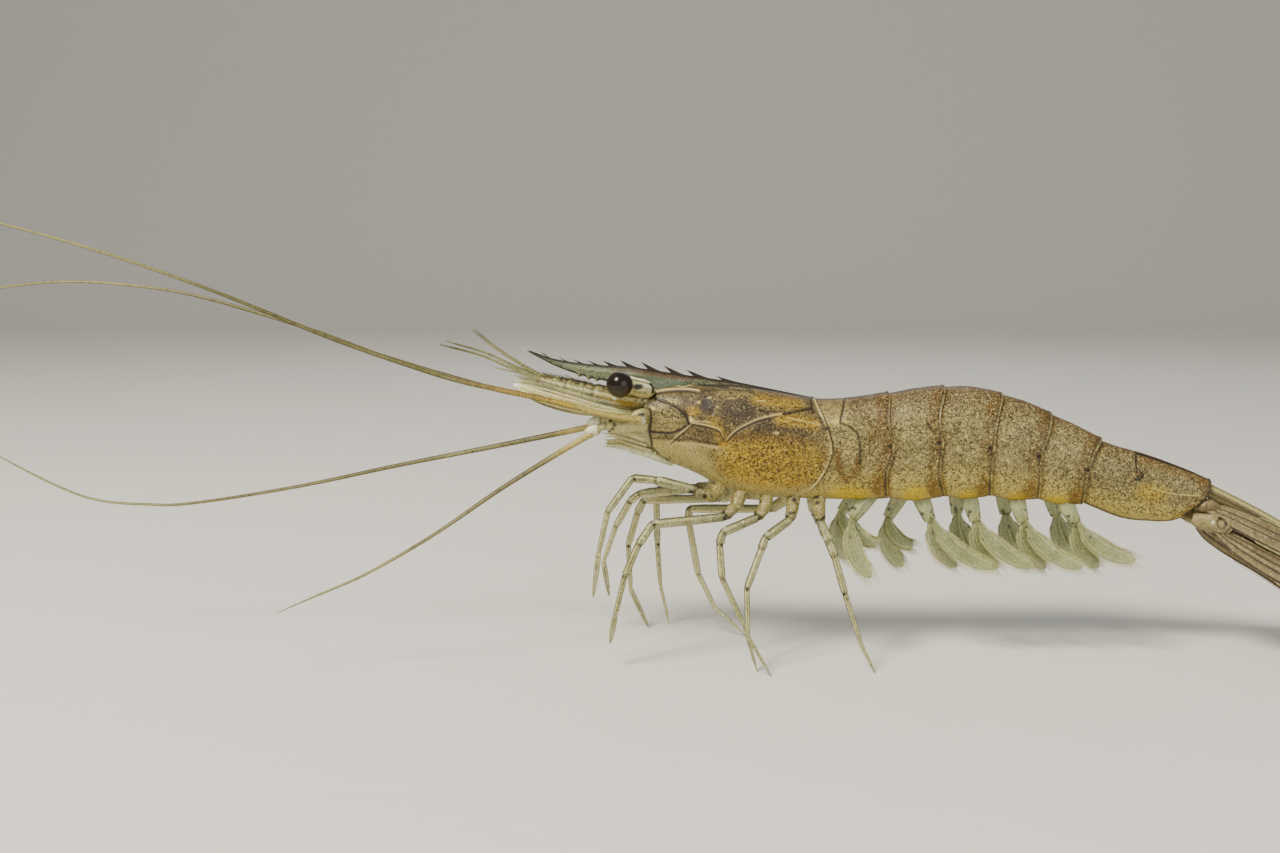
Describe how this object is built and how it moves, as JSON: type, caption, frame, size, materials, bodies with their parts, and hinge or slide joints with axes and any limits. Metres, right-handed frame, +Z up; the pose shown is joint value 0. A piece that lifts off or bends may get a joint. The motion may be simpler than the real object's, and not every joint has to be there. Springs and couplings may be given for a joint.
{
  "type": "prawn",
  "caption": "Life-size marine prawn standing on the sea floor on its walking legs and tail fan, with long feelers reaching forward.",
  "frame": {"origin": "centre of the footprint of the whole animal, feelers included, on the floor under its feet", "axes": "+X from head to tail, +Z up, -Y the animal's left side, which the camera sees"},
  "size_m": [0.2428, 0.0364, 0.0743],
  "materials": {
    "head_shell": "satin wet shell, speckled",
    "shell": "satin wet shell, speckled",
    "limb": "translucent horny skin",
    "swimming_limb": "translucent thin blades",
    "tail_fan": "translucent thin blades, ribbed",
    "feeler": "fine ringed",
    "eye": "wet gloss"
  },
  "bodies": {
    "root": {"carapace": "head_shell", "rostrum": "shell", "somite_1": "shell", "somite_2": "shell", "somite_3": "shell", "somite_4": "shell", "somite_5": "shell", "somite_6": "shell", "telson": "tail_fan", "uropod_base_left": "tail_fan", "uropod_inner_left": "tail_fan", "uropod_outer_left": "tail_fan", "uropod_base_right": "tail_fan", "uropod_inner_right": "tail_fan", "uropod_outer_right": "tail_fan", "eye_left": "eye", "eyestalk_left": "limb", "eye_right": "eye", "eyestalk_right": "limb", "antennule_left": "limb", "antennule_flagellum_left": "feeler", "scale_left": "swimming_limb", "antennule_right": "limb", "antennule_flagellum_right": "feeler", "scale_right": "swimming_limb", "antenna_upper_left": "feeler", "antenna_upper_right": "feeler", "antenna_lower_left": "feeler", "antenna_lower_right": "feeler", "antenna_stalk_left": "limb", "antenna_stalk_right": "limb", "mouthparts": "limb", "maxilliped_left": "limb", "maxilliped_right": "limb", "leg_1_left": "limb", "leg_2_left": "limb", "leg_3_left": "limb", "leg_4_left": "limb", "leg_5_left": "limb", "leg_1_right": "limb", "leg_2_right": "limb", "leg_3_right": "limb", "leg_4_right": "limb", "leg_5_right": "limb", "pleopod_1_left": "swimming_limb", "pleopod_2_left": "swimming_limb", "pleopod_3_left": "swimming_limb", "pleopod_4_left": "swimming_limb", "pleopod_5_left": "swimming_limb", "pleopod_1_right": "swimming_limb", "pleopod_2_right": "swimming_limb", "pleopod_3_right": "swimming_limb", "pleopod_4_right": "swimming_limb", "pleopod_5_right": "swimming_limb"}
  },
  "joints": []
}
